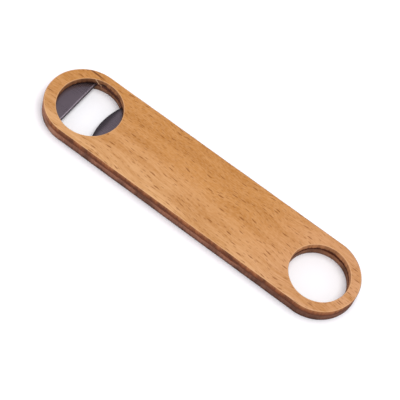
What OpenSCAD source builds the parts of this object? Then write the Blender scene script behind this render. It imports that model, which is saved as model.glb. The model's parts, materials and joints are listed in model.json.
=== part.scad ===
// Flat bottle opener: two beech layers glued face to face, with a steel opener plate
// let into a pocket of the lower layer and held down by the upper one.
// X runs along the bar with the opener end at -X, Z is up, and the underside lies at z = 0.

/* [Bar] */
// Overall length of the bar
bar_l = 177; // [140:1:230]
// Overall width, which is also the diameter of both round ends
bar_w = 40; // [32:0.5:50]
// Thickness of the upper beech layer
upper_t = 3.5; // [2.5:0.1:6]
// Thickness of the lower beech layer
lower_t = 4.6; // [3.6:0.1:8]
// Radius sanded on every edge of the two outside faces
edge_r = 0.5; // [0.2:0.1:1]
// Radius eased on the edges where the two layers meet
joint_r = 0.3; // [0.1:0.05:0.6]

/* [Glue film] */
// Thickness of the cured glue between the layers
film_t = 0.1; // [0.05:0.05:0.2]
// How far the glue stays back from the bar's outside and from the hanging hole
film_setback = 0.6; // [0.4:0.1:1.5]

/* [Mouth] */
// Wood left on each side of the mouth, across the bar
mouth_side_wall = 3.9; // [3.2:0.1:6]
// Wood left between the mouth and the round end of the bar
mouth_end_wall = 6.7; // [4:0.1:12]

/* [Hanging hole] */
// Wood left round the hanging hole, which is concentric with its end of the bar
hang_wall = 5.3; // [3:0.1:9]

/* [Opener plate] */
// Thickness of the steel
plate_t = 2; // [1.5:0.1:2.5]
// Wood left outside the plate, at the bar's sides and round its end
plate_wall = 1.8; // [1.5:0.1:2.2]
// How far the plate reaches into the bar beyond the mouth
plate_tail = 6.5; // [4:0.5:15]
// Radius of the plate's two corners at its tail
plate_corner_r = 5; // [2:0.5:8]
// Gap between the plate and the pocket's wall
plate_clearance = 0.15; // [0.05:0.05:0.3]
// How far the plate's window is set back behind the wall of the mouth
window_setback = 0.6; // [0.3:0.1:0.8]
// Distance from the mouth's centre to the straight lip that hooks the cap
lip_offset = 7.1; // [4:0.1:9]
// Distance from the mouth's centre to the crown of the catch that rests on the cap
catch_offset = 8; // [5:0.1:10]
// Radius of the catch's curved edge
catch_r = 32; // [20:1:60]
// Bevel along the lip's upper edge
lip_bevel = 0.4; // [0.2:0.1:0.8]
// Width of the coined bevel along the catch's upper edge
catch_bevel_w = 1.8; // [0.8:0.1:2.5]
// Depth of the coined bevel at the catch's edge
catch_bevel_h = 0.6; // [0.3:0.1:1]

/* [Hidden] */
$fn = 128;

bar_r = bar_w / 2;
head_x = bar_r - bar_l / 2;
hang_x = bar_l / 2 - bar_r;
hang_r = bar_r - hang_wall;
mouth_r = bar_r - mouth_side_wall;
mouth_x = mouth_end_wall + mouth_r - bar_l / 2;
window_r = mouth_r + window_setback;
lip_x = mouth_x - lip_offset;
catch_x = mouth_x + catch_offset + catch_r;
plate_r = bar_r - plate_wall;
plate_end_x = mouth_x + mouth_r + plate_tail;
plate_z = lower_t - plate_t;
film_z = lower_t;
upper_z = lower_t + film_t;
bar_t = upper_z + upper_t;
overrun = 1;

beech = [0.84, 0.62, 0.42];
dark_beech = [0.72, 0.50, 0.34];
amber_glue = [0.36, 0.22, 0.12];
steel = [0.40, 0.37, 0.40];

// Rectangle that reaches from x = 0 to w and y = 0 to t, with its two outer corners rounded
module eased_strip(w, t, low_r, high_r) {
    square([w - low_r, t / 2]);
    translate([0, t / 2]) square([w - high_r, t / 2]);
    translate([0, low_r]) square([w, t - low_r - high_r]);
    translate([w - low_r, low_r]) circle(low_r);
    translate([w - high_r, t - high_r]) circle(high_r);
}

// Section of a drilled hole from its axis outwards, flared where its two rims are rounded
module eased_hole_section(r, t, low_r, high_r) {
    square([r, t]);
    difference() {
        square([r + low_r, low_r]);
        translate([r + low_r, low_r]) circle(low_r);
    }
    difference() {
        translate([0, t - high_r]) square([r + high_r, high_r]);
        translate([r + high_r, t - high_r]) circle(high_r);
    }
}

// Flat bar with round ends and rounded edges
module eased_bar(t, low_r, high_r) {
    for (x = [head_x, hang_x])
        translate([x, 0, 0]) rotate_extrude() eased_strip(bar_r, t, low_r, high_r);
    for (side = [0, 1])
        mirror([0, side, 0])
            translate([head_x, 0, 0]) rotate([90, 0, 90])
                linear_extrude(hang_x - head_x) eased_strip(bar_r, t, low_r, high_r);
}

module eased_hole(x, r, t, low_r, high_r) {
    translate([x, 0, 0]) {
        rotate_extrude() eased_hole_section(r, t, low_r, high_r);
        translate([0, 0, -overrun]) cylinder(r = r, h = t + 2 * overrun);
    }
}

// One beech layer with the mouth and the hanging hole through it
module layer_blank(t, low_r, high_r) {
    difference() {
        eased_bar(t, low_r, high_r);
        eased_hole(mouth_x, mouth_r, t, low_r, high_r);
        eased_hole(hang_x, hang_r, t, low_r, high_r);
    }
}

// Outline of the opener plate, grown on every side for its pocket
module plate_outline(grow = 0) {
    corner_r = plate_corner_r + grow;
    corner_x = plate_end_x - plate_corner_r;
    corner_y = plate_r - plate_corner_r;
    translate([head_x, 0]) circle(plate_r + grow);
    translate([head_x, -plate_r - grow]) square([corner_x - head_x, 2 * (plate_r + grow)]);
    translate([head_x, -corner_y]) square([plate_end_x + grow - head_x, 2 * corner_y]);
    for (side = [-1, 1])
        translate([corner_x, side * corner_y]) circle(corner_r);
}

// Opening of the plate: straight at the lip, curved at the catch, hidden behind the mouth's wall
module plate_window() {
    difference() {
        intersection() {
            translate([mouth_x, 0]) circle(window_r);
            translate([lip_x, -window_r]) square([window_r + lip_offset, 2 * window_r]);
        }
        translate([catch_x, 0]) circle(catch_r);
    }
}

// Wedge removed along the lip's upper edge
module lip_bevel_cut() {
    translate([lip_x, 0, plate_t]) rotate([90, 0, 0])
        linear_extrude(2 * window_r, center = true)
            polygon([[-lip_bevel, 0], [0, 0], [0, -lip_bevel]]);
}

// Tapered ring removed along the catch's upper edge, kept to the window
module catch_bevel_cut() {
    intersection() {
        translate([catch_x, 0, plate_t - catch_bevel_h])
            rotate_extrude()
                polygon([
                    [catch_r, 0],
                    [catch_r + overrun, 0],
                    [catch_r + overrun, catch_bevel_h],
                    [catch_r - catch_bevel_w, catch_bevel_h]
                ]);
        translate([mouth_x, 0, 0]) cylinder(r = window_r, h = plate_t);
    }
}

module upper_layer() {
    color(beech)
        translate([0, 0, upper_z])
            layer_blank(upper_t, joint_r, edge_r);
}

module lower_layer() {
    color(dark_beech)
        difference() {
            layer_blank(lower_t, edge_r, joint_r);
            translate([0, 0, plate_z])
                linear_extrude(plate_t + overrun) plate_outline(plate_clearance);
        }
}

module glue_film() {
    film_r = bar_r - film_setback;
    color(amber_glue)
        translate([0, 0, film_z])
            linear_extrude(film_t)
                difference() {
                    union() {
                        for (x = [head_x, hang_x])
                            translate([x, 0]) circle(film_r);
                        translate([head_x, -film_r]) square([hang_x - head_x, 2 * film_r]);
                    }
                    translate([mouth_x, 0]) circle(window_r);
                    translate([hang_x, 0]) circle(hang_r + film_setback);
                }
}

module opener_plate() {
    color(steel)
        translate([0, 0, plate_z])
            difference() {
                linear_extrude(plate_t)
                    difference() {
                        plate_outline();
                        plate_window();
                    }
                lip_bevel_cut();
                catch_bevel_cut();
            }
}

upper_layer();
lower_layer();
glue_film();
opener_plate();
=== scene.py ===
import json
import math

import bmesh
import bpy
import numpy as np
from mathutils import Matrix, Vector


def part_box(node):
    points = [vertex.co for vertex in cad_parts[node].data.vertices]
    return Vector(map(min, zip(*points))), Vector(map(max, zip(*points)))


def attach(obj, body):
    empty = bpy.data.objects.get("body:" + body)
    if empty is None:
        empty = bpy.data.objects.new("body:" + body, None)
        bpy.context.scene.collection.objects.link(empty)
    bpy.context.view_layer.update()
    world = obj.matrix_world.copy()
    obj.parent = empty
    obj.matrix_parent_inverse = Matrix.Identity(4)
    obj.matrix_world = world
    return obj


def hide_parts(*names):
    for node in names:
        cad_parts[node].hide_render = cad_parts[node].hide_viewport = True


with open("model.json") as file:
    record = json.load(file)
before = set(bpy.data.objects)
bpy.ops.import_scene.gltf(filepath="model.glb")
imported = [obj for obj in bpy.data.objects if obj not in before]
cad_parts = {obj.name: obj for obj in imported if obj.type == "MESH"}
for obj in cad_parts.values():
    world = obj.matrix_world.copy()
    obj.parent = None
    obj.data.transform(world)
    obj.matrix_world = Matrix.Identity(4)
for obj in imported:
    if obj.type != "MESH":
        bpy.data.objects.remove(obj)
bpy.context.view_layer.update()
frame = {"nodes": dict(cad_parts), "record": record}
print("stage 1: frame loaded,", len(frame["nodes"]), "CAD nodes")

mm = 0.001
tiny = 1e-9  # keeps a division away from zero
noiseLow, noiseHigh = 0.3, 0.7  # nearly all of a noise's values lie between these
seamReach = 0.002 * mm  # points closer than this are one
# how many points each part of a surface has
grid = {
    "curve": 9,  # round a quarter circle
    "wall": 7,  # up a straight wall, its two ends included
    "side": 33,  # along each straight side of an end
    "endArc": 97,  # round the half circle of an end
    "across": 41,  # across the bar
    "along": 89,  # along the middle of the bar
    "plate": 41,  # from the plate's window out to its outline
    "ground": 6,  # down the ground flat of the catch
    "rayTurn": 0.02,  # radians between the plate's rays
    "halvings": 40,  # steps in the search for an outline
}
quarterTurn = np.linspace(0, math.pi / 2, grid["curve"])[:, None]  # radians round a quarter circle


def hexToLinear(code):
    # sRGB to linear: c / 12.92 in the toe, ((c + 0.055) / 1.055) to the power 2.4 above it
    channels = np.array([int(code[i : i + 2], 16) for i in (1, 3, 5)]) / 255
    linear = np.where(channels < 0.04045, channels / 12.92, ((channels + 0.055) / 1.055) ** 2.4)
    return (*linear.tolist(), 1.0)


def addNode(tree, kind, inputs=None, stops=None, **settings):
    # an input takes a number, a hex colour or the output that feeds it; stops are a ramp's (place, hex) pairs
    node = tree.nodes.new("ShaderNode" + kind)
    for name, value in settings.items():
        setattr(node, name, value)
    for number, (place, code) in enumerate(stops or []):
        ramp = node.color_ramp.elements
        stop = ramp[number] if number < 2 else ramp.new(place)
        stop.position, stop.color = place, hexToLinear(code)
    for key, value in (inputs or {}).items():
        if isinstance(value, bpy.types.NodeSocket):
            tree.links.new(value, node.inputs[key])
        else:
            node.inputs[key].default_value = hexToLinear(value) if isinstance(value, str) else value
    return node.outputs


def newMaterial(name):
    material = bpy.data.materials.new(name)
    material.use_nodes = True
    material.node_tree.nodes.clear()
    return material, material.node_tree


def meshFromPatches(name, labels, patches):
    # every patch is a grid of points and one value or grid of values for each label, kept as a mesh attribute
    corners, quads, first = [], [], 0
    values = [[] for _ in labels]
    for points, *given in patches:
        rows, columns = points.shape[:2]
        index = first + np.arange(rows * columns).reshape(rows, columns)
        corner = index[:-1, :-1], index[:-1, 1:], index[1:, 1:], index[1:, :-1]
        quads.append(np.stack(corner, -1).reshape(-1, 4))
        corners.append(points.reshape(-1, 3))
        for held, value in zip(values, given):
            held.append(np.broadcast_to(value, (rows, columns)).ravel())
        first += rows * columns
    mesh = bpy.data.meshes.new(name)
    mesh.from_pydata(np.concatenate(corners), [], np.concatenate(quads))
    for label, held in zip(labels, values):
        layer = mesh.attributes.new(label, "FLOAT", "POINT")
        layer.data.foreach_set("value", np.concatenate(held).astype(np.float32))
    shell = bmesh.new()
    shell.from_mesh(mesh)
    bmesh.ops.remove_doubles(shell, verts=shell.verts, dist=seamReach)  # closes the seams between patches
    bmesh.ops.recalc_face_normals(shell, faces=shell.faces)
    openEdges = sum(not edge.is_manifold for edge in shell.edges)
    shell.to_mesh(mesh)
    shell.free()
    mesh.shade_smooth()
    piece = bpy.data.objects.new(name, mesh)
    bpy.context.scene.collection.objects.link(piece)
    print("  ", name, len(mesh.polygons), "faces,", openEdges, "open edges")
    return piece


def flatPatch(inner, outer, height, shares, cut=0.0):
    # plane surface: point = inner + share * (outer - inner), at one height
    flat = inner[None] + shares[:, None, None] * (outer - inner)[None]
    return np.concatenate([flat, np.full((*flat.shape[:2], 1), height)], -1), cut, 0


def easedWall(path, outward, foot, rim, bore=0):
    # section carried along a path: a quarter circle at the foot, a straight wall, a quarter circle at the rim
    # foot: inset = r (1 - sin a), height = low + r (1 - cos a)
    # rim: inset = r (1 - cos a), height = high - r (1 - sin a)
    (low, lowRadius, lowCut), (high, highRadius, highCut) = foot, rim
    angle = quarterTurn
    rise = np.linspace(0, 1, grid["wall"])[1:-1, None]
    lowRadius = np.broadcast_to(lowRadius, len(path))[None]
    highRadius = np.broadcast_to(highRadius, len(path))[None]
    wallLow, wallHigh = low + lowRadius, high - highRadius
    inset = np.concatenate([
        lowRadius * (1 - np.sin(angle)),
        0 * rise * lowRadius,
        highRadius * (1 - np.cos(angle)),
    ])
    height = np.concatenate([
        low + lowRadius * (1 - np.cos(angle)),
        wallLow + rise * (wallHigh - wallLow),
        high - highRadius * (1 - np.sin(angle)),
    ])
    turned = angle / (math.pi / 2)
    cut = np.concatenate([lowCut + (1 - lowCut) * turned, 1 + 0 * rise, 1 + (highCut - 1) * turned])
    flat = path[None] - outward[None] * inset[..., None]
    return np.concatenate([flat, height[..., None]], -1), cut, bore


# sizes shared by the pieces, in metres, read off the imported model
upperLow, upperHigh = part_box("upper_layer")
lowerLow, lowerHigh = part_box("lower_layer")
plateLow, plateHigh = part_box("opener_plate")
hangHole = next(m for m in frame["record"]["mounts"] if m["name"] == "hanging_hole")
mouthWell = next(o for o in frame["record"]["physics"]["openings"] if o["name"] == "mouth_above_plate")


def wallRadius(node, centreX):
    # a hole's radius is the least distance of the node's own points from the hole's axis
    points = np.array([v.co[:2] for v in frame["nodes"][node].data.vertices])
    return round(float(np.hypot(points[:, 0] - centreX, points[:, 1]).min()), 5)


bar = {
    "halfLength": upperHigh.x,
    "radius": upperHigh.y,
    "mouthX": (mouthWell["box_m"][0][0] + mouthWell["box_m"][1][0]) / 2,
    "hangX": hangHole["pos_m"][0],
    "hangRadius": hangHole["dims"]["r_mm"] * mm,
    "faceRadius": 0.5 * mm,  # sanded edges of the two outside faces
    "jointRadius": 0.3 * mm,  # eased edges where the layers meet
    "sandingWander": 0.25,  # how unevenly the edges were sanded, as a share of their radius
    # each wave of the sanding: radians per mm of x, radians per mm of y, and its start
    "sandingWaves": ((0.23, 0.0, 1.3), (0.41, 0.3, 0.4), (0.13, -0.5, 0.0)),
}
bar["mouthRadius"] = wallRadius("upper_layer", bar["mouthX"])
bar["roundX"] = bar["halfLength"] - bar["radius"]  # middle of each round end, from the bar's middle
plate = {
    "radius": plateHigh.y,
    "tailX": plateHigh.x,
    "cornerRadius": 5 * mm,
    "windowRadius": bar["mouthRadius"] + 0.6 * mm,
    "lipOffset": 7.1 * mm,
    "catchOffset": 8 * mm,
    "catchRadius": 32 * mm,
    "pocketGap": 0.15 * mm,
    "beyond": 60 * mm,  # farther from the mouth's centre than any point of the plate
}


def sandedRadius(points, radius):
    # the radius wanders slowly along the bar: the mean of three sines of x and y
    x, y = points[:, 0] / mm, points[:, 1] / mm
    waves = bar["sandingWaves"]
    wander = sum(np.sin(byX * x + byY * y + start) for byX, byY, start in waves) / len(waves)
    return radius * (1 + bar["sandingWander"] * wander)


def sandedEdges(points, edges):
    # every (height, edge radius, cut) with its radius as it was sanded at each point
    return [(height, sandedRadius(points, radius), cut) for height, radius, cut in edges]


def endPath(crossing, turn):
    # one end of the outline: a straight side in from the cross line, the half circle, and the other side back
    # worked out for the -X end, and turned half way round for the +X end by a factor of -1
    radius, centre = bar["radius"], -bar["roundX"]
    side = np.linspace(crossing * turn, centre, grid["side"])[:-1]
    angle = np.linspace(math.pi / 2, 3 * math.pi / 2, grid["endArc"])
    up, flat = np.ones(len(side)), np.zeros(len(side))
    outward = np.concatenate([
        np.stack([flat, up], -1),
        np.stack([np.cos(angle), np.sin(angle)], -1),
        np.stack([flat, -up], -1),
    ])
    spine = np.concatenate([side, np.full(len(angle), centre), side[::-1]])
    path = np.stack([spine, 0 * spine], -1) + radius * outward
    return path * turn, outward * turn


def crossLine(x, shares, radius):
    # across the bar at x, between its two flat edges: y = share * (bar's radius - edge radius)
    ends = np.array([[x, -bar["radius"]], [x, bar["radius"]]])
    reach = bar["radius"] - sandedRadius(ends, radius)
    y = -reach[0] + shares * (reach[0] + reach[1])
    return np.stack([np.full(len(shares), x), y], -1)


def rayDistance(inside, directions):
    # distance from the mouth's centre to a convex outline along each direction, found by halving the gap
    near, far = np.zeros(len(directions)), np.full(len(directions), plate["beyond"])
    for _ in range(grid["halvings"]):
        middle = (near + far) / 2
        held = inside(directions * middle[:, None])
        near, far = np.where(held, middle, near), np.where(held, far, middle)
    return near


def plateInside(points, grow):
    # the plate's outline round the mouth's centre: half disc, straight sides and two rounded corners
    x, y = points[:, 0] + bar["mouthX"], np.abs(points[:, 1])
    radius, corner = plate["radius"] + grow, plate["cornerRadius"] + grow
    tail = plate["tailX"] + grow
    head = np.hypot(np.minimum(x + bar["roundX"], 0), y) <= radius
    overX, overY = np.maximum(x - (tail - corner), 0), np.maximum(y - (radius - corner), 0)
    return head & (x <= tail) & (np.hypot(overX, overY) <= corner)


crossShares = np.linspace(0, 1, grid["across"])
plateShares = np.linspace(0, 1, grid["plate"])
# rings round a hole, closer together at both edges
ringShares = np.concatenate([[0, 0.02], np.linspace(0.08, 0.92, 13), [0.98, 1]])
crossX = {-1: -40 * mm, 1: 48 * mm}  # where the end zones meet the middle of the bar
holes = ((1, bar["mouthX"], bar["mouthRadius"]), (-1, bar["hangX"], bar["hangRadius"]))  # 1 at the -X end


def endZone(turn, holeX, radius):
    # closed loop round one end: the outline's end, inset by its sanded edge, then the cross line back to the
    # start, with the direction from the hole's centre to each of its points
    path, outward = endPath(crossX[-turn], turn)
    inset = sandedRadius(path, radius)
    shares = crossShares if turn > 0 else crossShares[::-1]
    line = crossLine(crossX[-turn], shares, radius)
    across = np.stack([line[:, 0], (2 * shares - 1) * bar["radius"]], -1)
    outer = np.concatenate([path - outward * inset[:, None], line[1:]])
    aim = np.concatenate([path, across[1:]]) - [holeX, 0]
    return outer, aim / np.linalg.norm(aim, axis=1)[:, None]


def beechLayer(name, foot, rim, pocketFloor=None):
    # foot and rim are the (height, edge radius, cut) of the lower and the upper face
    # cut runs from 0 on a planed face to 1 on a cut wall, and bore is 1 in a hole
    patches = []
    for turn, holeX, holeRadius in holes:
        centre = np.array([holeX, 0])
        for height, radius, cut in (foot, rim):
            outer, rays = endZone(turn, holeX, radius)
            hole = centre + rays * (holeRadius + sandedRadius(rays * holeRadius, radius))[:, None]
            if pocketFloor is not None and turn > 0 and height == rim[0]:
                reach = rayDistance(lambda p: plateInside(p, plate["pocketGap"]), rays)
                edge = centre + rays * reach[:, None]
                mouth = centre + rays * holeRadius
                wall = np.stack([np.c_[edge, np.full(len(edge), z)] for z in (pocketFloor, height)])
                patches.append(flatPatch(edge, outer, height, ringShares, 1.0))
                patches.append((wall, 1.0, 0))
                patches.append(flatPatch(mouth, edge, pocketFloor, ringShares, 1.0))
            else:
                patches.append(flatPatch(hole, outer, height, ringShares, cut))

        path, outward = endPath(crossX[-turn], turn)
        patches.append(easedWall(path, outward, *sandedEdges(path, (foot, rim))))
        rays = endZone(turn, holeX, foot[1])[1]
        wall = centre + rays * holeRadius
        inside = sandedEdges(rays * holeRadius, (foot, rim))
        if pocketFloor is not None and turn > 0:
            inside[1] = (pocketFloor, 0, 1.0)
        patches.append(easedWall(wall, -rays, *inside, bore=1))

    stations = np.linspace(crossX[-1], crossX[1], grid["along"])
    for height, radius, cut in (foot, rim):
        middle = np.stack([crossLine(x, crossShares, radius) for x in stations])
        patches.append((np.concatenate([middle, np.full((*middle.shape[:2], 1), height)], -1), cut, 0))
    for side in (-1.0, 1.0):
        path = np.stack([stations, 0 * stations + side * bar["radius"]], -1)
        outward = np.stack([0 * stations, 0 * stations + side], -1)
        patches.append(easedWall(path, outward, *sandedEdges(path, (foot, rim))))
    return meshFromPatches(name, ("cut", "bore"), patches)


upperBeech = beechLayer(
    "upperBeech", (upperLow.z, bar["jointRadius"], 1.0), (upperHigh.z, bar["faceRadius"], 0.0))
lowerBeech = beechLayer(
    "lowerBeech", (lowerLow.z, bar["faceRadius"], 0.0), (lowerHigh.z, bar["jointRadius"], 1.0), plateLow.z)
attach(upperBeech, "root")
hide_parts("upper_layer")
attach(lowerBeech, "root")
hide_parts("lower_layer")
print("stage 2: beech layers built")

plateEdge = {
    "lipRoll": 0.6 * mm,  # rolled edge left by the punch along the lip
    "grindWidth": 2.2 * mm,  # flat ground on the catch, from its crown to a straight border across the bar
    "grindDepth": 0.6 * mm,
    "sideRoll": 0.2 * mm,
    "footRoll": 0.15 * mm,
    "darkReflectionWidth": 4.5 * mm,  # how far from the catch's edge the painted dark reflection keeps it darker than the sheet
    "leastFacing": 0.2,  # keeps the rolled edge from growing too wide where a ray runs along it
    "oxideTurn": (0.5, 1.2),  # radians round the rolled edge where the oxide ends, on the lip and elsewhere
    "highlightTurn": (0.5, 0.3),  # radians round the lip's edge where the painted highlight starts, and its fade
}


def windowReach(rays):
    # distance from the mouth's centre to the plate's window: the least of the lip line, the catch circle and
    # the rim. The circle, with its centre at c and its radius r, is met at
    # along c - root((along c) squared - c squared + r squared)
    along = rays[:, 0]
    rim = np.full(len(rays), plate["windowRadius"])
    lip = np.where(along < -tiny, plate["lipOffset"] / np.maximum(-along, tiny), np.inf)
    centre = plate["catchOffset"] + plate["catchRadius"]
    under = (along * centre) ** 2 - centre**2 + plate["catchRadius"] ** 2
    catch = np.where((under > 0) & (along > 0), along * centre - np.sqrt(np.maximum(under, 0)), np.inf)
    return np.minimum(np.minimum(rim, lip), catch), lip < rim, catch < rim


def plateRays():
    # rays round the mouth's centre, with one through each corner of the window and of the plate
    centreX = plate["catchOffset"] + plate["catchRadius"]
    rim = plate["windowRadius"]
    catchEnd = math.acos((rim**2 + centreX**2 - plate["catchRadius"] ** 2) / (2 * centreX * rim))
    lipEnd = math.acos(-plate["lipOffset"] / rim)
    tail, corner = plate["tailX"] - bar["mouthX"], plate["cornerRadius"]
    cornerA = math.atan2(plate["radius"] - corner, tail)
    cornerB = math.atan2(plate["radius"], tail - corner)
    roundStart = math.atan2(plate["radius"], -bar["roundX"] - bar["mouthX"])
    knots = np.sort([0, catchEnd, lipEnd, cornerA, cornerB, roundStart, math.pi])
    half = np.concatenate([
        np.linspace(a, b, max(4, round((b - a) / grid["rayTurn"])))[:-1] for a, b in zip(knots, knots[1:])
    ])
    angle = np.concatenate([half, 2 * math.pi - half[::-1], half[:1] + 2 * math.pi])
    angle = np.unique(np.round(np.concatenate([angle, [math.pi]]), 9))
    return np.stack([np.cos(angle), np.sin(angle)], -1)


def plateParts(rays, reach, onLip, onCatch):
    # section carried round the window, part by part: distances along the rays, and the heights there
    outer = rayDistance(lambda p: plateInside(p, 0.0), rays)

    # the rolled edge's width is measured along each ray, so that it is even across the edge
    facing = np.where(onLip, np.abs(rays[:, 0]), 1.0)
    roll = np.where(onLip, plateEdge["lipRoll"], plateEdge["sideRoll"])
    width = roll / np.maximum(facing, plateEdge["leastFacing"])
    # the ground flat falls evenly from its straight border down to the edge
    grindX = plate["catchOffset"] + plateEdge["grindWidth"]
    ground = np.where(onCatch, np.maximum(grindX / np.maximum(rays[:, 0], tiny) - reach, 0), 0)
    drop = plateEdge["grindDepth"] * np.maximum(grindX - rays[:, 0] * reach, 0)
    drop = drop / plateEdge["grindWidth"] * onCatch
    shoulder = np.maximum(reach + width, reach + ground)

    rollFlat = reach + width * (1 - np.cos(quarterTurn))  # quarter ellipse from the wall up to the top
    slope = np.where(ground > width, (rollFlat - reach) / np.maximum(ground, tiny), 1.0)
    topHere = plateHigh.z - drop * np.clip(1 - slope, 0, 1)
    foot = plateEdge["footRoll"]
    footFlat = reach + foot * (1 - np.sin(quarterTurn))
    flatness = np.linspace(0, 1, grid["ground"])[1:, None]
    return {
        "underside": (footFlat[0] + plateShares[::-1, None] * (outer - footFlat[0]), plateLow.z),
        "foot": (footFlat, plateLow.z + foot * (1 - np.cos(quarterTurn))),
        "roll": (rollFlat, topHere - roll * (1 - np.sin(quarterTurn))),
        "ground": (
            rollFlat[-1] + flatness * (shoulder - rollFlat[-1]),
            topHere[-1] + flatness * (plateHigh.z - topHere[-1]),
        ),
        "top": (shoulder + plateShares[:, None] * (outer - shoulder), plateHigh.z),
        "outline": (outer[None], plateLow.z),
    }


def openerPlate():
    # point = mouth's centre + ray * distance, at its height, for every ring of the section
    rays = plateRays()
    reach, onLip, onCatch = windowReach(rays)
    parts = plateParts(rays, reach, onLip, onCatch)

    def joined(values):
        # the rings of every part in order, with 0 where a part has no value
        return np.concatenate([
            np.broadcast_to(values.get(part, 0.0), away.shape) for part, (away, height) in parts.items()
        ])

    ringRadius = joined({part: away for part, (away, height) in parts.items()})
    ringHeight = joined({part: height for part, (away, height) in parts.items()})
    flat = np.array([bar["mouthX"], 0]) + rays[None] * ringRadius[..., None]
    # oxide = 1 on the cut wall, falling to 0 round the rolled edge above it, sooner on the lip than elsewhere
    fade = np.clip(1 - quarterTurn / np.where(onLip, *plateEdge["oxideTurn"]), 0, 1)
    oxide = joined({"foot": 1.0, "roll": fade})
    # painted dark reflection = 1 - distance from the catch's edge / its width, on the catch: a darker tone
    # painted where the ground catch mirrors a dark part of the room
    # soot = oxide away from the lip and the catch
    nearCatch = np.clip(1 - (ringRadius - reach[None]) / plateEdge["darkReflectionWidth"], 0, 1)
    paintedDarkReflection = onCatch[None] * nearCatch * (1 - oxide)
    soot = np.where(onLip | onCatch, 0, oxide)
    # painted highlight = 1 on the upper part of the lip's rolled edge, a lighter tone painted where the edge
    # catches the light
    highlightStart, highlightFade = plateEdge["highlightTurn"]
    paintedHighlight = joined({"roll": np.where(onLip, np.clip((quarterTurn - highlightStart) / highlightFade, 0, 1), 0)})
    points = np.concatenate([flat, ringHeight[..., None]], -1)
    # the first attribute holds the painted dark reflection on the catch and the soot on the other cut edges
    return meshFromPatches("steelPlate", ("coined", "oxide", "paintedHighlight"), [(points, paintedDarkReflection + soot, oxide, paintedHighlight)])


steelPlate = openerPlate()
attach(steelPlate, "root")
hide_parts("opener_plate")
print("stage 3: opener plate built")

beech = {
    "pink": "#D3A371",
    "light": "#CA9560",
    "amber": "#BE8548",
    "rust": "#A66C2C",
    "rim": "#EBC598",
    "fleckTone": "#743B06",
    "markTone": "#5A2A12",
    "tailTone": "#CB9A75",
    "tilt": -2.0,  # degrees between the grain and the bar
    "sway": 5.5,  # mm that the grain bends to each side
    "drift": 9.0,  # mm that the tones across the board wander to each side
    # noises: mm along the grain, mm across it, and detail; all but the first follow the bent grain
    "noises": {
        "bend": (38.0, 22.0, 1.0),
        "drift": (60.0, 14.0, 1.0),
        "band": (42.0, 6.5, 2.0),
        "line": (26.0, 1.1, 2.0),
        "fibre": (7.0, 0.5, 2.0),
        "mottle": (1.6, 0.7, 3.0),
        "ragged": (0.9, 0.12, 2.0),
    },
    # across the board, near edge to far edge: (mm where a tone starts, mm where it is full, tone)
    "across": ((-20.0, -4.0, "light"), (-11.0, 6.0, "amber")),
    "tail": (20.0, 80.0, 0.75),  # mm along the bar where the tail's tone starts and is full, and most of it
    # (noise, where it starts, where it is full, most of it, tone)
    "layers": (
        ("band", 0.42, 0.64, 0.52, "rust"),
        ("line", 0.42, 0.72, 0.38, "rust"),
        ("fibre", 0.35, 0.7, 0.36, "rust"),
        ("mottle", 0.35, 0.65, 0.28, "pink"),
    ),
    # ray flecks: mm between them and half their size, both along and across the grain, share of them left
    # out, and depth of tone
    "flecks": (
        {"pitch": (5.0, 2.9), "half": (1.8, 0.29), "least": 0.1, "depth": 0.66},
        {"pitch": (3.1, 1.6), "half": (1.1, 0.21), "least": 0.12, "depth": 0.42},
    ),
    "luckiest": 1.6,  # most luck a fleck can have: it reaches to the root of this many half lengths
    "raggedness": 0.3,  # how far the fibres shift a fleck's edge, on the scale of its luck
    "markDepth": 0.8,  # of a mineral streak
    "markCore": 0.3,  # share of a mineral streak's half size inside which it is full
    "rimBand": (0.01, 0.12, 0.5),  # cut where the pale rim starts and is full, and most of it
    "roughness": 0.5,
    "specular": 0.13,
    "relief": (0.3, 0.04),  # strength of the pores and flecks, and their depth in mm
}
charAndShade = {
    # (height in mm, tone) up the outside wall and up the wall of a hole
    "outside": (
        (0, "#4C3428"), (1.2, "#704D3D"), (2.6, "#8C5E4A"), (4.2, "#98684F"), (4.65, "#7C4730"),
        (5.5, "#6E3B22"), (6.6, "#8C5331"), (7.4, "#945C38"), (8.1, "#A66C42"),
    ),
    # in a hole the dark band just under the joint, from 3.9 mm up, is painted shade where the upper layer's
    # edge would shade the lower one; above the joint it is char
    "inside": (
        (0, "#805C4A"), (1.4, "#886048"), (3.3, "#9C6C4E"), (3.9, "#5E2E12"), (4.4, "#4C1E06"),
        (5.1, "#5B2B12"), (5.8, "#B47A4E"), (7.4, "#B67E52"), (8.1, "#B88256"),
    ),
    # the walls grow paler or darker along the bar: (mm along the bar where a tone starts, mm where it is
    # full, most of it, tone) for each layer's outside, and then for its holes
    "upper": (
        ((-73, -80, 0.3, "pale"), (60, 74, 0.15, "burnt")),
        ((-68, -75, 0.45, "burnt"),),
    ),
    "lower": (
        ((-65, -74, 0.34, "pale"), (30, 72, 0.5, "burnt")),
        (),
    ),
    "pale": "#D2A184",
    "burnt": "#3B2218",
    "soot": "#261A15",
    "streak": 1.1,  # mm between the beam's upright streaks
    "upright": 0.12,  # how much more slowly the streaks change up the wall than along it
    "patch": 9.0,  # mm across a deeper burnt patch
    "streakShade": (0.3, 0.6, 0.3),  # noise where the burnt tone is most and where it ends, and most of it
    "patchShade": (0.3, 0.55, 0.6),
    "wander": 0.8,  # mm that the tones wander up and down
    "pierce": (-68.8, 15.8, 4.9),  # mm, place of the soot spot where the beam first went through
    "pierceReach": (0.76, 1.9, 0.85),  # mm from there where the soot is most and where it ends, and the most
    "fibre": ((-73.6, 14.0, 8.9), (-70.2, 15.5, 2.7)),  # mm, ends of the torn fibre
    "fibreWidth": (0.1, 0.4, 0.75),  # mm from its line where it is full and where it ends, and most of it
    "fibreFade": 0.5,  # mm above and below its lower end over which it fades
    "farSide": (17.0, 19.5, 3.0),  # mm across the bar where the char's spread starts and is full, and how far
    "start": (0.15, 0.5),  # cut where the char starts and where it is full
    "roughness": 0.8,
}


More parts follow.
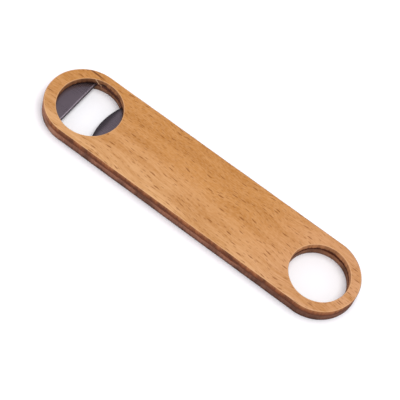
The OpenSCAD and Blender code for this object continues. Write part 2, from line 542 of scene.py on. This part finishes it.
def fibreShare(tree, inMm, radius):
    # a torn pale fibre across the mouth's wall, carried out to a surface at this radius
    # it fades with the distance from a line, which is the length of (point - start) x direction
    grow = radius / bar["mouthRadius"]
    axis = bar["mouthX"] / mm
    start, end = (Vector((axis + (x - axis) * grow, y * grow, z)) for x, y, z in charAndShade["fibre"])
    fromStart = addNode(tree, "VectorMath", {0: inMm, 1: start}, operation="SUBTRACT")[0]
    swept = addNode(tree, "VectorMath", {0: fromStart, 1: (end - start).normalized()},
                    operation="CROSS_PRODUCT")[0]
    aside = addNode(tree, "VectorMath", {0: swept}, operation="LENGTH")["Value"]
    full, none, most = charAndShade["fibreWidth"]
    onLine = addNode(tree, "MapRange", {"Value": aside, "From Min": full, "From Max": none, "To Min": most,
                                        "To Max": 0.0})[0]
    height = addNode(tree, "SeparateXYZ", {0: inMm})["Z"]
    above = addNode(tree, "MapRange", {"Value": height, "From Min": end.z - charAndShade["fibreFade"],
                                       "From Max": end.z + charAndShade["fibreFade"]})[0]
    return addNode(tree, "Math", {0: onLine, 1: above}, operation="MULTIPLY")[0]


def grainNoises(tree, moved):
    # every noise is stretched along the grain, and the first of them bends the grain for the rest
    noises, grain = {}, moved
    for label, (along, across, detail) in beech["noises"].items():
        stretched = addNode(tree, "VectorMath", {0: grain, 1: (1 / along, 1 / across, 1 / across)},
                            operation="MULTIPLY")[0]
        noises[label] = addNode(tree, "TexNoise", {"Vector": stretched, "Scale": 1.0,
                                                   "Detail": detail})["Fac"]
        if label == "bend":
            sway = addNode(tree, "MapRange", {"Value": noises[label], "To Min": -beech["sway"],
                                              "To Max": beech["sway"]})[0]
            aside = addNode(tree, "CombineXYZ", {"Y": sway})[0]
            grain = addNode(tree, "VectorMath", {0: moved, 1: aside}, operation="ADD")[0]
    return noises, grain


def boardTone(tree, turned, noises):
    # the tone runs from pinkish at the near edge to amber at the far one, and is pinker towards the tail
    place = addNode(tree, "SeparateXYZ", {0: turned})
    drift = addNode(tree, "MapRange", {"Value": noises["drift"], "To Min": -beech["drift"],
                                       "To Max": beech["drift"]})[0]
    drift = addNode(tree, "Math", {0: place["Y"], 1: drift}, operation="ADD")[0]
    tone = beech["pink"]
    for start, full, over in beech["across"]:
        share = addNode(tree, "MapRange", {"Value": drift, "From Min": start, "From Max": full},
                        interpolation_type="SMOOTHSTEP")[0]
        tone = addNode(tree, "Mix", {0: share, 6: tone, 7: beech[over]}, data_type="RGBA")[2]
    start, full, most = beech["tail"]
    share = addNode(tree, "MapRange", {"Value": place["X"], "From Min": start, "From Max": full,
                                       "To Max": most}, interpolation_type="SMOOTHSTEP")[0]
    tone = addNode(tree, "Mix", {0: share, 6: tone, 7: beech["tailTone"]}, data_type="RGBA")[2]
    for label, start, full, most, over in beech["layers"]:
        share = addNode(tree, "MapRange", {"Value": noises[label], "From Min": start, "From Max": full,
                                           "To Max": most}, interpolation_type="SMOOTHSTEP")[0]
        tone = addNode(tree, "Mix", {0: share, 6: tone, 7: beech[over]}, data_type="RGBA")[2]
    return tone


def rayFlecks(tree, grain, fibres):
    # a fleck is a spindle round each Voronoi point, where (x / half length) squared + |y| / half width stays
    # under its luck, and the fibres make its edge ragged
    ragged = addNode(tree, "MapRange", {"Value": fibres, "From Min": noiseLow, "From Max": noiseHigh,
                                        "To Min": -beech["raggedness"],
                                        "To Max": beech["raggedness"]})[0]
    fleck = 0.0
    for kind in beech["flecks"]:
        (pitchX, pitchY), (halfX, halfY) = kind["pitch"], kind["half"]
        cellAt = addNode(tree, "VectorMath", {0: grain, 1: (1 / pitchX, 1 / pitchY, 0)},
                         operation="MULTIPLY")[0]
        nearest = addNode(tree, "TexVoronoi", {"Vector": cellAt, "Scale": 1.0}, voronoi_dimensions="2D")
        offset = addNode(tree, "VectorMath", {0: cellAt, 1: nearest["Position"]}, operation="SUBTRACT")[0]
        scaled = addNode(tree, "VectorMath", {0: offset, 1: (pitchX / halfX, pitchY / halfY, 0)},
                         operation="MULTIPLY")[0]
        spread = addNode(tree, "SeparateXYZ", {0: scaled})
        width = addNode(tree, "Math", {0: spread["Y"]}, operation="ABSOLUTE")[0]
        spindle = addNode(tree, "Math", {0: spread["X"], 1: spread["X"], 2: width},
                          operation="MULTIPLY_ADD")[0]
        chance = addNode(tree, "SeparateColor", {"Color": nearest["Color"]})["Red"]
        luck = addNode(tree, "MapRange", {"Value": chance, "From Min": kind["least"],
                                          "To Max": beech["luckiest"]})[0]
        reach = addNode(tree, "Math", {0: luck, 1: ragged}, operation="ADD")[0]
        body = addNode(tree, "Math", {0: reach, 1: spindle}, operation="SUBTRACT")[0]
        share = addNode(tree, "MapRange", {"Value": body, "To Max": kind["depth"]},
                        interpolation_type="SMOOTHSTEP")[0]
        fleck = addNode(tree, "Math", {0: fleck, 1: share}, operation="MAXIMUM")[0]
    return fleck


def charredAndShadedWall(tree, layer, inMm, turned, moved):
    # the wall's tone follows height / thickness, in upright streaks and slow patches, and it changes along
    # the bar; in a hole its dark band under the joint is painted shade
    thickness = upperHigh.z / mm
    height = addNode(tree, "SeparateXYZ", {0: inMm})["Z"]
    along = addNode(tree, "SeparateXYZ", {0: turned})["X"]
    upright = addNode(tree, "VectorMath", {0: moved, 1: (1, 1, charAndShade["upright"])}, operation="MULTIPLY")[0]
    streak = addNode(tree, "TexNoise", {"Vector": upright, "Scale": 1 / charAndShade["streak"]})["Fac"]
    patch = addNode(tree, "TexNoise", {"Vector": moved, "Scale": 1 / charAndShade["patch"], "Detail": 1.0})["Fac"]
    both = addNode(tree, "Math", {0: streak, 1: patch}, operation="ADD")[0]
    wander = addNode(tree, "MapRange", {"Value": both, "From Min": 2 * noiseLow,
                                        "From Max": 2 * noiseHigh, "To Min": -charAndShade["wander"],
                                        "To Max": charAndShade["wander"]})[0]
    level = addNode(tree, "Math", {0: height, 1: wander}, operation="ADD")[0]
    level = addNode(tree, "Math", {0: level, 1: thickness}, operation="DIVIDE")[0]
    sides = []
    for side, changes in zip(("outside", "inside"), charAndShade[layer]):
        stops = [(z / thickness, code) for z, code in charAndShade[side]]
        burnt = addNode(tree, "ValToRGB", {"Fac": level}, stops=stops)[0]
        for start, full, most, over in changes:
            share = addNode(tree, "MapRange", {"Value": along, "From Min": start, "From Max": full,
                                               "To Max": most}, interpolation_type="SMOOTHSTEP")[0]
            burnt = addNode(tree, "Mix", {0: share, 6: burnt, 7: charAndShade[over]}, data_type="RGBA")[2]
        sides.append(burnt)
    bore = addNode(tree, "Attribute", attribute_name="bore")["Fac"]
    wall = addNode(tree, "Mix", {0: bore, 6: sides[0], 7: sides[1]}, data_type="RGBA")[2]
    for noise, (full, none, most) in ((streak, charAndShade["streakShade"]), (patch, charAndShade["patchShade"])):
        share = addNode(tree, "MapRange", {"Value": noise, "From Min": full, "From Max": none,
                                           "To Min": most, "To Max": 0.0})[0]
        wall = addNode(tree, "Mix", {0: share, 6: wall, 7: charAndShade["burnt"]}, data_type="RGBA")[2]

    # soot falls off round the pierced spot of the mouth, beside the torn fibre
    away = addNode(tree, "VectorMath", {0: inMm, 1: charAndShade["pierce"]}, operation="DISTANCE")["Value"]
    full, none, most = charAndShade["pierceReach"]
    share = addNode(tree, "MapRange", {"Value": away, "From Min": full, "From Max": none, "To Min": most,
                                       "To Max": 0.0}, interpolation_type="SMOOTHSTEP")[0]
    wall = addNode(tree, "Mix", {0: share, 6: wall, 7: charAndShade["soot"]}, data_type="RGBA")[2]
    share = fibreShare(tree, inMm, bar["mouthRadius"])
    return addNode(tree, "Mix", {0: share, 6: wall, 7: beech["rim"]}, data_type="RGBA")[2]


def beechMaterial(name, layer, shift, marks=()):
    # oiled steamed beech, planed faces and laser-cut edges: pinkish tan with short dark ray flecks along the
    # grain, pale where the edges were sanded, brown where the beam charred the walls, and painted shade under
    # the joint in a hole's wall
    material, tree = newMaterial(name)
    place = addNode(tree, "TexCoord")["Object"]
    inMm = addNode(tree, "VectorMath", {0: place, "Scale": 1 / mm}, operation="SCALE")[0]
    turned = addNode(tree, "VectorRotate", {"Vector": inMm, "Angle": math.radians(-beech["tilt"])},
                     rotation_type="Z_AXIS")[0]
    moved = addNode(tree, "VectorMath", {0: turned, 1: shift}, operation="ADD")[0]
    noises, grain = grainNoises(tree, moved)
    tone = boardTone(tree, turned, noises)
    fleck = rayFlecks(tree, grain, noises["ragged"])
    tone = addNode(tree, "Mix", {0: fleck, 6: tone, 7: beech["fleckTone"]}, data_type="RGBA")[2]
    for markX, markY, halfX, halfY in marks:
        # one long mineral streak, which fades with the distance from its middle, scaled to its half sizes
        offset = addNode(tree, "VectorMath", {0: turned, 1: (markX, markY, 0)}, operation="SUBTRACT")[0]
        scaled = addNode(tree, "VectorMath", {0: offset, 1: (1 / halfX, 1 / halfY, 0)},
                         operation="MULTIPLY")[0]
        length = addNode(tree, "VectorMath", {0: scaled}, operation="LENGTH")["Value"]
        share = addNode(tree, "MapRange", {"Value": length, "From Min": 1.0, "From Max": beech["markCore"],
                                           "To Max": beech["markDepth"]}, interpolation_type="SMOOTHSTEP")[0]
        tone = addNode(tree, "Mix", {0: share, 6: tone, 7: beech["markTone"]}, data_type="RGBA")[2]

    # sanded rim: a pale line where the face turns down into the wall
    cut = addNode(tree, "Attribute", attribute_name="cut")["Fac"]
    start, full, most = beech["rimBand"]
    share = addNode(tree, "MapRange", {"Value": cut, "From Min": start, "From Max": full, "To Max": most})[0]
    tone = addNode(tree, "Mix", {0: share, 6: tone, 7: beech["rim"]}, data_type="RGBA")[2]

    # the far side was sanded less, so there the char comes further round the edge
    across = addNode(tree, "SeparateXYZ", {0: turned})["Y"]
    start, full, most = charAndShade["farSide"]
    spared = addNode(tree, "MapRange", {"Value": across, "From Min": start, "From Max": full, "To Min": 1.0,
                                        "To Max": most})[0]
    charred = addNode(tree, "Math", {0: cut, 1: spared}, operation="MULTIPLY")[0]
    start, full = charAndShade["start"]
    onWall = addNode(tree, "MapRange", {"Value": charred, "From Min": start, "From Max": full},
                     interpolation_type="SMOOTHSTEP")[0]
    # the wall tone holds the char and, in the holes, painted shade under the joint
    wall = charredAndShadedWall(tree, layer, inMm, turned, moved)
    tone = addNode(tree, "Mix", {0: onWall, 6: tone, 7: wall}, data_type="RGBA")[2]

    # flecks and pores stand a few hundredths of a millimetre below the planed face
    strength, depth = beech["relief"]
    relief = addNode(tree, "Math", {0: noises["mottle"], 1: fleck}, operation="SUBTRACT")[0]
    bump = addNode(tree, "Bump", {"Height": relief, "Strength": strength, "Distance": depth * mm})[0]
    rough = addNode(tree, "MapRange", {"Value": onWall, "To Min": beech["roughness"],
                                       "To Max": charAndShade["roughness"]})[0]
    shader = addNode(tree, "BsdfPrincipled", {"Base Color": tone, "Roughness": rough, "Normal": bump,
                                              "Specular IOR Level": beech["specular"]})[0]
    addNode(tree, "OutputMaterial", {"Surface": shader})
    return material


mineralStreak = (-75.8, 14.4, 8.2, 0.68)  # mm, its middle and half its length and width
ownGrain = (63, 31, 17)  # mm that the lower board's grain is moved, so that the boards differ
upperBeech.data.materials.append(beechMaterial("oiledBeechUpper", "upper", (0, 0, 0), [mineralStreak]))
lowerBeech.data.materials.append(beechMaterial("oiledBeechLower", "lower", ownGrain))

steel = {
    "tone": "#7D727A",
    # tone of the painted dark reflection on the catch, also laid under the soot of the cut edges
    "coined": "#474246",
    # tone of the painted highlight along the lip's rolled edge
    "paintedHighlight": "#958B94",
    "oxide": "#3A3133",
    "soot": "#5E2C16",
    "roughness": 0.28,
    "oxideRoughness": 0.35,  # added on the cut edges
    "lineLength": 40.0,  # mm along a polishing line
    "lineWidth": 0.15,  # mm, several times the belt's own grit, which would be too fine to show
    "cloudSize": 8.0,  # mm across a duller patch
    "polish": (-0.03, 0.04),  # how far the lines and patches move the roughness
    "coinedFull": 0.8,  # share of the painted dark reflection beyond which its tone is full
    "relief": (0.02, 0.01),  # strength of the polishing lines, and their depth in mm
}


def steelMaterial():
    # stainless steel sheet, laser-cut and belt-polished along the bar: satin grey with faint long lines,
    # a painted dark reflection on the catch, a painted highlight along the lip's rolled edge, and dull dark
    # oxide on the cut edges
    material, tree = newMaterial("satinStainlessSteel")
    place = addNode(tree, "TexCoord")["Object"]
    inMm = addNode(tree, "VectorMath", {0: place, "Scale": 1 / mm}, operation="SCALE")[0]
    perMm = (1 / steel["lineLength"], 1 / steel["lineWidth"], 1)
    stretched = addNode(tree, "VectorMath", {0: inMm, 1: perMm}, operation="MULTIPLY")[0]
    lines = addNode(tree, "TexNoise", {"Vector": stretched, "Scale": 1.0, "Detail": 3.0})["Fac"]
    cloud = addNode(tree, "TexNoise", {"Vector": inMm, "Scale": 1 / steel["cloudSize"]})["Fac"]
    coined = addNode(tree, "Attribute", attribute_name="coined")["Fac"]
    oxide = addNode(tree, "Attribute", attribute_name="oxide")["Fac"]
    paintedHighlight = addNode(tree, "Attribute", attribute_name="paintedHighlight")["Fac"]
    soot = addNode(tree, "Math", {0: oxide, 1: coined}, operation="MULTIPLY")[0]

    # painted dark reflection: the catch's base colour darkens towards its edge
    share = addNode(tree, "MapRange", {"Value": coined, "From Max": steel["coinedFull"]},
                    interpolation_type="SMOOTHSTEP")[0]
    tone = addNode(tree, "Mix", {0: share, 6: steel["tone"], 7: steel["coined"]}, data_type="RGBA")[2]
    # painted highlight: a lighter tone on the upper part of the lip's rolled edge
    tone = addNode(tree, "Mix", {0: paintedHighlight, 6: tone, 7: steel["paintedHighlight"]}, data_type="RGBA")[2]
    edge = addNode(tree, "Mix", {0: soot, 6: steel["oxide"], 7: steel["soot"]}, data_type="RGBA")[2]
    tone = addNode(tree, "Mix", {0: oxide, 6: tone, 7: edge}, data_type="RGBA")[2]
    fibre = addNode(tree, "Math", {0: soot, 1: fibreShare(tree, inMm, plate["windowRadius"])},
                    operation="MULTIPLY")[0]
    tone = addNode(tree, "Mix", {0: fibre, 6: tone, 7: beech["rim"]}, data_type="RGBA")[2]
    metal = addNode(tree, "Math", {0: 1.0, 1: soot}, operation="SUBTRACT")[0]
    mixed = addNode(tree, "Math", {0: lines, 1: cloud}, operation="ADD")[0]
    smoother, duller = steel["polish"]
    polish = addNode(tree, "MapRange", {"Value": mixed, "From Min": 2 * noiseLow, "From Max": 2 * noiseHigh,
                                        "To Min": steel["roughness"] + smoother,
                                        "To Max": steel["roughness"] + duller})[0]
    rough = addNode(tree, "Math", {0: oxide, 1: steel["oxideRoughness"], 2: polish},
                    operation="MULTIPLY_ADD")[0]
    strength, depth = steel["relief"]
    bump = addNode(tree, "Bump", {"Height": lines, "Strength": strength, "Distance": depth * mm})[0]
    shader = addNode(tree, "BsdfPrincipled", {"Base Color": tone, "Metallic": metal, "Roughness": rough,
                                              "Normal": bump})[0]
    addNode(tree, "OutputMaterial", {"Surface": shader})
    return material


steelPlate.data.materials.append(steelMaterial())

glue = {
    "tone": "#3A2418",
    "gritTone": "#5B3A24",
    "gritSize": 1.1,  # mm
    "roughness": 0.6,
}


def glueMaterial():
    # cured wood glue, toasted brown by the cut: matt and nearly black in the joint
    material, tree = newMaterial("toastedWoodGlue")
    place = addNode(tree, "TexCoord")["Object"]
    grit = addNode(tree, "TexNoise", {"Vector": place, "Scale": 1 / (glue["gritSize"] * mm)})["Fac"]
    tone = addNode(tree, "Mix", {0: grit, 6: glue["tone"], 7: glue["gritTone"]}, data_type="RGBA")[2]
    shader = addNode(tree, "BsdfPrincipled", {"Base Color": tone, "Roughness": glue["roughness"]})[0]
    addNode(tree, "OutputMaterial", {"Surface": shader})
    return material


glueFilm = frame["nodes"]["glue_film"]
glueFilm.data.materials.clear()
glueFilm.data.materials.append(glueMaterial())
print("stage 4: materials made")

studio = {
    "floorSize": 3.0,  # metres
    "floorHeight": -0.02 * mm,  # just under the bar, so that the two don't share a plane
    "floorTone": "#FDFEFF",
    "floorRoughness": 0.9,
    "tentTone": "#F6F2FA",
    "tentHeights": (0.3, 0.85),  # upward lean, 1 being straight up, where the wall ends and the roof starts
    "tentWall": 1.28,
    "tentRoof": 0.41,
    "tentSides": (-0.6, 0.5),  # lean to +X where the dim side ends and the full side starts
    "dimSide": 0.92,
    "boxPlace": (0.18, 0.05, 1.2),  # metres
    "boxSize": (0.9, 0.9),
    "boxPower": 10.8,
}


def buildStudio():
    half = studio["floorSize"] / 2
    outline = ((-half, -half), (half, -half), (half, half), (-half, half))
    corners = [(x, y, studio["floorHeight"]) for x, y in outline]
    mesh = bpy.data.meshes.new("studioFloor")
    mesh.from_pydata(corners, [], [(0, 1, 2, 3)])
    floor = bpy.data.objects.new("studioFloor", mesh)
    bpy.context.scene.collection.objects.link(floor)
    material, tree = newMaterial("mattWhiteBoard")
    shader = addNode(tree, "BsdfPrincipled", {"Base Color": studio["floorTone"],
                                              "Roughness": studio["floorRoughness"]})[0]
    addNode(tree, "OutputMaterial", {"Surface": shader})
    mesh.materials.append(material)

    # light tent: strength = wall to roof by height, times a dim to full share by the direction's lean to +X
    world = bpy.data.worlds.new("lightTent")
    world.use_nodes = True
    tree = world.node_tree
    tree.nodes.clear()
    way = addNode(tree, "SeparateXYZ", {0: addNode(tree, "TexCoord")["Generated"]})
    wallEnd, roofStart = studio["tentHeights"]
    dimEnd, fullStart = studio["tentSides"]
    byHeight = addNode(tree, "MapRange", {"Value": way["Z"], "From Min": wallEnd, "From Max": roofStart,
                                          "To Min": studio["tentWall"], "To Max": studio["tentRoof"]},
                       interpolation_type="SMOOTHSTEP")[0]
    bySide = addNode(tree, "MapRange", {"Value": way["X"], "From Min": dimEnd, "From Max": fullStart,
                                        "To Min": studio["dimSide"], "To Max": 1.0},
                     interpolation_type="SMOOTHSTEP")[0]
    strength = addNode(tree, "Math", {0: byHeight, 1: bySide}, operation="MULTIPLY")[0]
    background = addNode(tree, "Background", {"Color": studio["tentTone"], "Strength": strength})[0]
    addNode(tree, "OutputWorld", {"Surface": background})
    bpy.context.scene.world = world

    lamp = bpy.data.lights.new("softBox", "AREA")
    lamp.shape = "RECTANGLE"
    lamp.size, lamp.size_y = studio["boxSize"]
    lamp.energy = studio["boxPower"]
    box = bpy.data.objects.new("softBox", lamp)
    bpy.context.scene.collection.objects.link(box)
    box.location = studio["boxPlace"]
    box.rotation_euler = (-box.location).to_track_quat("-Z", "Y").to_euler()


view = {
    "azimuth": -18.849,  # degrees
    "elevation": 58.382,
    "roll": -19.767,
    "place": (124.15, -357.24, 611.03),  # mm
    "lens": 137.29,  # mm
    "shift": (-0.00125, 0.00125),
}


def placeCamera():
    # the camera's own axes from azimuth, elevation and roll: right and up, and back as their cross product
    a, e, r = (math.radians(view[name]) for name in ("azimuth", "elevation", "roll"))
    level = np.array([math.cos(a), -math.sin(a), 0])
    climb = np.array([math.sin(a) * math.sin(e), math.cos(a) * math.sin(e), math.cos(e)])
    right = math.cos(r) * level - math.sin(r) * climb
    up = math.sin(r) * level + math.cos(r) * climb
    matrix = Matrix(np.stack([right, up, np.cross(right, up)], -1).tolist()).to_4x4()
    matrix.translation = Vector(view["place"]) * mm
    camera = bpy.data.objects.new("camera", bpy.data.cameras.new("camera"))
    bpy.context.scene.collection.objects.link(camera)
    camera.matrix_world = matrix
    camera.data.lens = view["lens"]
    camera.data.shift_x, camera.data.shift_y = view["shift"]
    bpy.context.scene.camera = camera


buildStudio()
placeCamera()
bpy.context.scene.view_settings.view_transform = "Standard"
print("stage 5: studio and camera placed")
